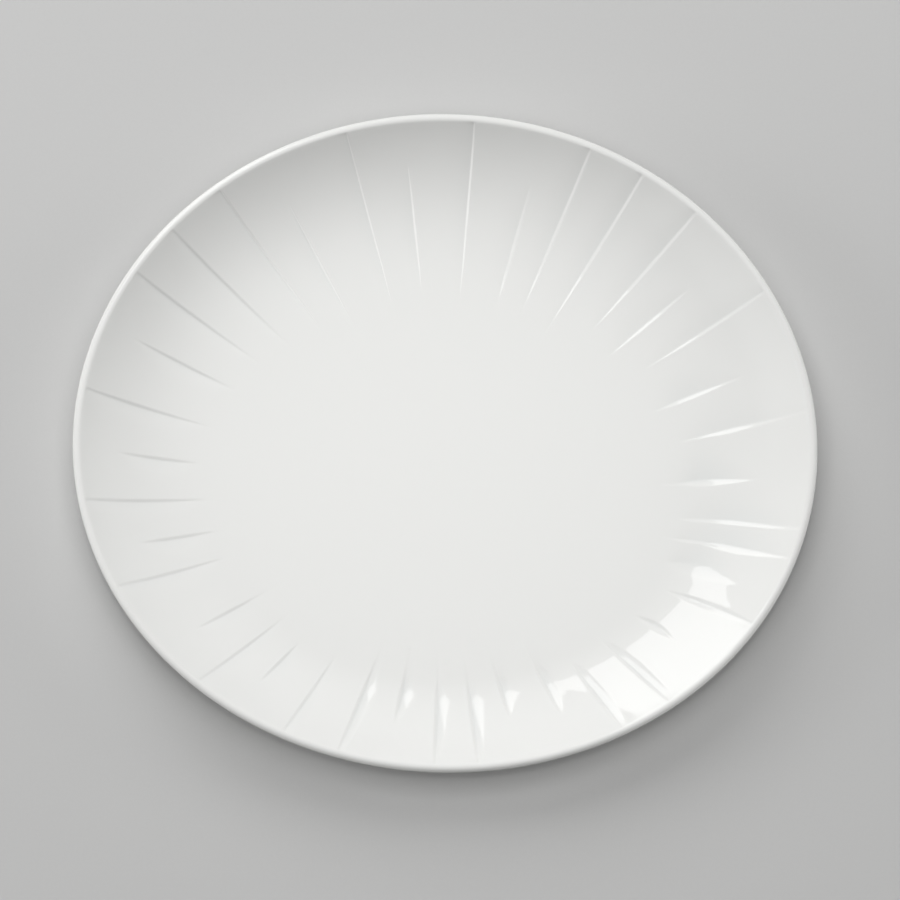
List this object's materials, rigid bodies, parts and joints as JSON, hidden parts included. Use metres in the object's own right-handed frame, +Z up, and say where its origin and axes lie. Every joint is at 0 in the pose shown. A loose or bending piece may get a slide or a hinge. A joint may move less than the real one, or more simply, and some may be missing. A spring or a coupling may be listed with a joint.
{
  "type": "oval coupe plate",
  "caption": "Oval porcelain coupe plate with an off-centre well, a continuous curved wall cut with radial flutes, a rounded lip and an unglazed foot ring, for serving food.",
  "frame": {"origin": "on the table, under the middle of the rim's box", "axes": "+X along the plate, +Y from the narrow front wall to the broad back wall, +Z up"},
  "size_m": [0.27, 0.2408, 0.024],
  "materials": {
    "porcelain": "bisque, matt, fine grained",
    "clear_glaze": "white gloss"
  },
  "bodies": {
    "root": {"porcelain_body": "porcelain", "face_glaze": "clear_glaze", "base_glaze": "clear_glaze"}
  },
  "joints": []
}
